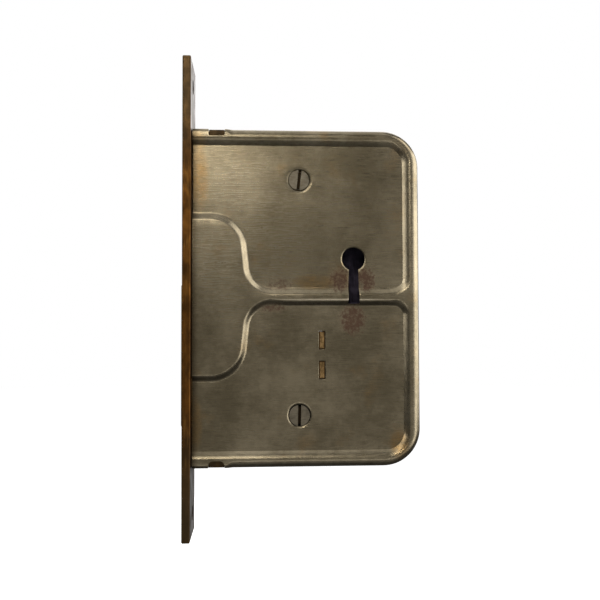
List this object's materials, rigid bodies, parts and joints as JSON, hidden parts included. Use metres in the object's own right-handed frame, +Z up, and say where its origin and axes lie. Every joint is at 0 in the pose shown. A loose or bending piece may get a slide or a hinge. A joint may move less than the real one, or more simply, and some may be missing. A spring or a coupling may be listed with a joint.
{
  "type": "mortise deadlock",
  "caption": "Mortise deadlock: pressed steel case with keyhole, bronze faceplate, sliding dead bolt and pivoted lever tumblers inside.",
  "frame": {"origin": "on the faceplate's outer face, on its centreline, level with the keyhole axis", "axes": "+X into the door away from the faceplate, +Z up, -Y towards the cover side that the key enters"},
  "size_m": [0.1021, 0.0254, 0.2032],
  "materials": {
    "pressed_steel": "brushed, darkened and spotted with rust",
    "faceplate_bronze": "dark bronze patina, worn at the edges",
    "bolt_bronze": "worn satin bronze",
    "screw_steel": "satin steel, lightly tarnished",
    "plain_steel": "plain oiled steel",
    "lever_brass": "stamped brass",
    "spring_steel": "blued spring steel"
  },
  "bodies": {
    "case": {"case_cover": "pressed_steel", "case_back_shell": "pressed_steel", "faceplate": "faceplate_bronze", "bolt_guide_plate": "bolt_bronze", "lever_pivot_post": "plain_steel", "lower_cover_post": "plain_steel", "upper_cover_screw": "screw_steel", "lower_cover_screw": "screw_steel", "lever_rest_pin": "plain_steel", "spring_rest_pin": "plain_steel", "upper_front_lug": "faceplate_bronze", "lower_front_lug": "faceplate_bronze", "upper_faceplate_screw": "screw_steel", "lower_faceplate_screw": "screw_steel"},
    "dead_bolt": {"bolt_head": "bolt_bronze", "bolt_tail": "plain_steel", "bolt_stump": "plain_steel", "bolt_rivet_1": "plain_steel", "bolt_rivet_2": "plain_steel", "bolt_rivet_3": "plain_steel"},
    "lever_1_body": {"lever_1": "lever_brass", "lever_spring_1": "spring_steel"},
    "lever_2_body": {"lever_2": "lever_brass", "lever_spring_2": "spring_steel"},
    "lever_3_body": {"lever_3": "lever_brass", "lever_spring_3": "spring_steel"},
    "lever_4_body": {"lever_4": "lever_brass", "lever_spring_4": "spring_steel"},
    "lever_5_body": {"lever_5": "lever_brass", "lever_spring_5": "spring_steel"}
  },
  "joints": [
    {"name": "bolt_throw", "type": "slide", "parent": "case", "child": "dead_bolt", "axis": [-1, 0, 0], "range_m": [0, 0.019]},
    {"name": "lever_1_lift", "type": "hinge", "parent": "case", "child": "lever_1_body", "pos_m": [0.0493, -0.00402, 0.03395], "axis": [0, -1, 0], "range_deg": [-6, 4], "deforming": ["lever_spring_1"]},
    {"name": "lever_2_lift", "type": "hinge", "parent": "case", "child": "lever_2_body", "pos_m": [0.0493, -0.00252, 0.03395], "axis": [0, -1, 0], "range_deg": [-6, 4], "deforming": ["lever_spring_2"]},
    {"name": "lever_3_lift", "type": "hinge", "parent": "case", "child": "lever_3_body", "pos_m": [0.0493, -0.00103, 0.03395], "axis": [0, -1, 0], "range_deg": [-6, 4], "deforming": ["lever_spring_3"]},
    {"name": "lever_4_lift", "type": "hinge", "parent": "case", "child": "lever_4_body", "pos_m": [0.0493, 0.00047, 0.03395], "axis": [0, -1, 0], "range_deg": [-6, 4], "deforming": ["lever_spring_4"]},
    {"name": "lever_5_lift", "type": "hinge", "parent": "case", "child": "lever_5_body", "pos_m": [0.0493, 0.00198, 0.03395], "axis": [0, -1, 0], "range_deg": [-6, 4], "deforming": ["lever_spring_5"]}
  ]
}
